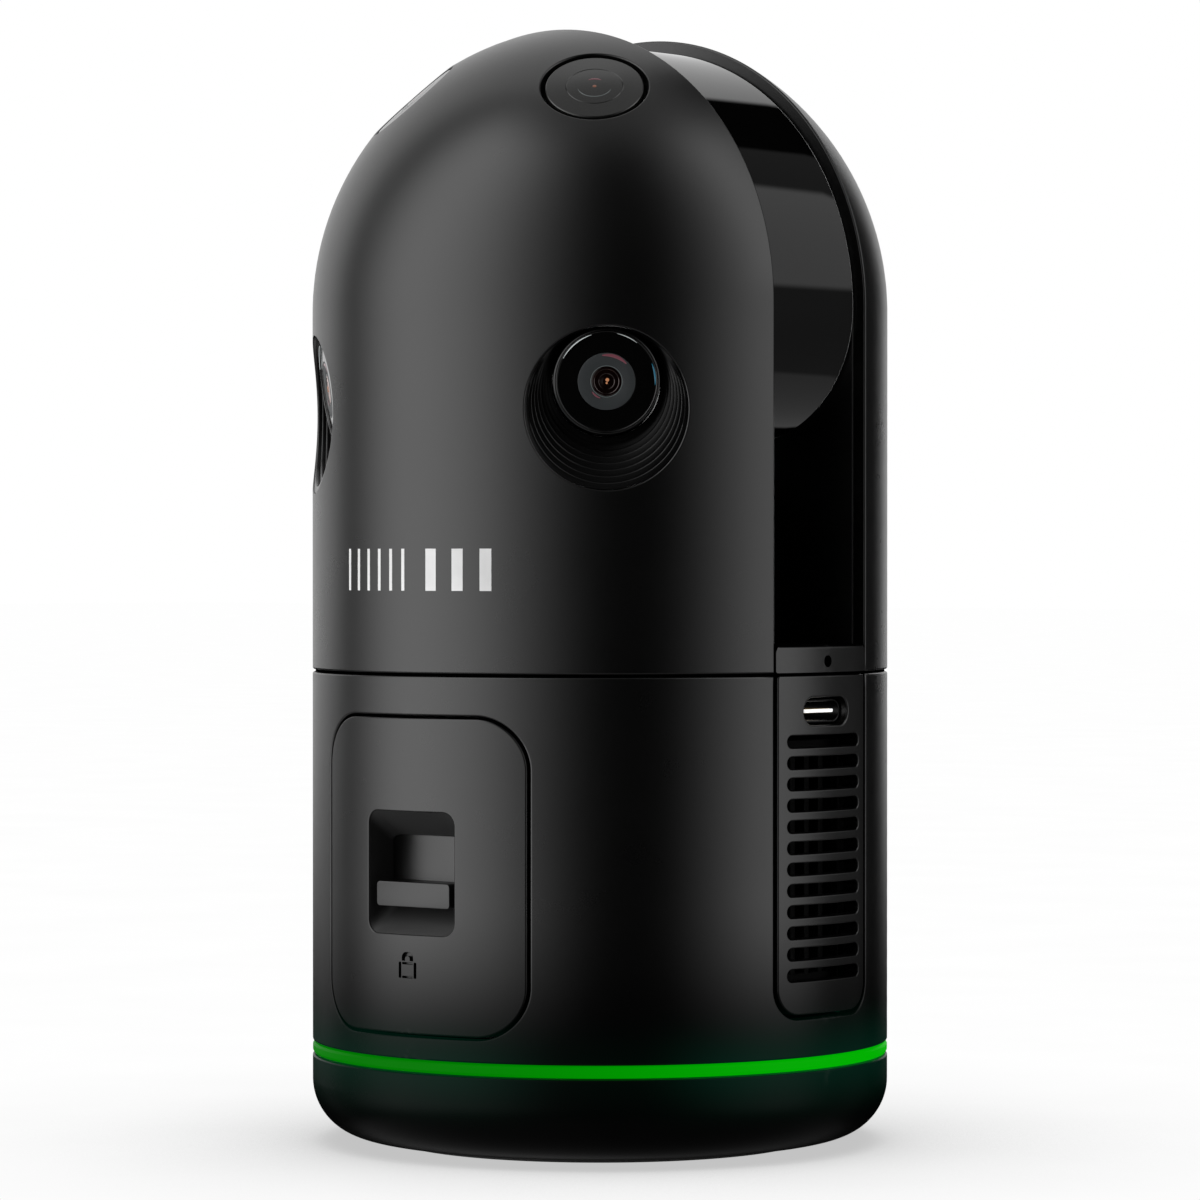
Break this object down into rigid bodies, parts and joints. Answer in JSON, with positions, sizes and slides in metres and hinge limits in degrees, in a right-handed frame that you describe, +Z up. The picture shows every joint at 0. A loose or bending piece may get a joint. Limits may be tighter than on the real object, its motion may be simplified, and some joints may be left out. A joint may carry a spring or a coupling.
{
  "type": "terrestrial laser scanner",
  "caption": "Capsule-shaped laser scanner: fixed base with battery and light ring, turning two-tower head, spinning mirror behind a dark window, cameras in the front tower.",
  "frame": {"origin": "on the ground under the pan axis, which is the middle of the round foot", "axes": "+Z up along the pan axis; -Y is the front, with the battery cover and the cameras; +X is the side with the port and the vents; the slot between the towers runs along X"},
  "size_m": [0.08, 0.08, 0.1537],
  "materials": {
    "satin_black": "satin, fine grained",
    "black_plastic": "matte",
    "soft_rubber": "matte",
    "ring_light": "translucent, lit green",
    "dark_glass": "polished, near black",
    "lens_glass": "polished, coated",
    "mirror_silver": "polished",
    "aluminium": "machined",
    "steel": "satin",
    "brass": "machined",
    "circuit_board": "solder mask",
    "cell_wrap": "shrink wrap"
  },
  "bodies": {
    "base": {"base_board": "circuit_board", "base_chassis": "black_plastic", "base_deck": "aluminium", "base_housing": "satin_black", "battery_bay": "black_plastic", "battery_connector": "brass", "bearing_inner_race": "steel", "bottom_cover": "satin_black", "bottom_screw_1": "steel", "bottom_screw_2": "steel", "bottom_screw_3": "steel", "bottom_screw_4": "steel", "button_panel": "satin_black", "fan_frame": "black_plastic", "foot_ring": "soft_rubber", "heat_sink": "aluminium", "led_board": "circuit_board", "light_ring": "ring_light", "pan_ring_gear": "brass", "power_switch": "black_plastic", "slip_ring_stator": "brass", "tripod_bush": "brass", "tripod_plate": "steel", "usb_port": "steel", "vent_panel": "satin_black"},
    "head": {"bearing_outer_race": "steel", "camera_barrel_left": "black_plastic", "camera_barrel_right": "black_plastic", "camera_glass_left": "lens_glass", "camera_glass_right": "lens_glass", "camera_scoop_left": "black_plastic", "camera_scoop_right": "black_plastic", "centre_pillar": "black_plastic", "front_cheek": "black_plastic", "front_shell": "satin_black", "head_deck": "black_plastic", "laser_module": "aluminium", "main_board": "circuit_board", "mirror_bearing": "steel", "mirror_motor": "steel", "pan_motor": "steel", "rear_cheek": "black_plastic", "rear_shell": "satin_black", "receiver_lens": "lens_glass", "sky_barrel_left": "black_plastic", "sky_barrel_right": "black_plastic", "sky_window_left": "lens_glass", "sky_window_right": "lens_glass", "slip_ring_rotor": "brass", "window_glass": "dark_glass"},
    "mirror_rotor": {"mirror_holder": "aluminium", "mirror_facet": "mirror_silver", "encoder_disc": "dark_glass"},
    "pinion": {"pan_pinion": "steel"},
    "battery": {"battery_cover": "satin_black", "battery_case": "black_plastic", "battery_cells": "cell_wrap"},
    "latch": {"battery_latch": "satin_black"},
    "button": {"power_button": "black_plastic"},
    "fan": {"fan_rotor": "black_plastic"}
  },
  "joints": [
    {"name": "head_pan", "type": "hinge", "parent": "base", "child": "head", "pos_m": [0, 0, 0.0654], "axis": [0, 0, 1], "continuous": true},
    {"name": "mirror_spin", "type": "hinge", "parent": "head", "child": "mirror_rotor", "pos_m": [0, 0, 0.115], "axis": [0, 1, 0], "continuous": true},
    {"name": "pinion_spin", "type": "hinge", "parent": "head", "child": "pinion", "pos_m": [0, 0.026, 0.0635], "axis": [0, 0, 1], "continuous": true},
    {"name": "battery_slide", "type": "slide", "parent": "base", "child": "battery", "axis": [0, -1, 0], "range_m": [0, 0.06]},
    {"name": "latch_slide", "type": "slide", "parent": "battery", "child": "latch", "axis": [0, 0, 1], "range_m": [0, 0.0045]},
    {"name": "power_button_press", "type": "slide", "parent": "base", "child": "button", "axis": [1, 0, 0], "range_m": [0, 0.0007]},
    {"name": "fan_spin", "type": "hinge", "parent": "base", "child": "fan", "pos_m": [0.021, 0, 0.04], "axis": [1, 0, 0], "continuous": true}
  ],
  "couplings": [
    {"joint": "pinion_spin", "follows": "head_pan", "ratio": 3.3333}
  ]
}
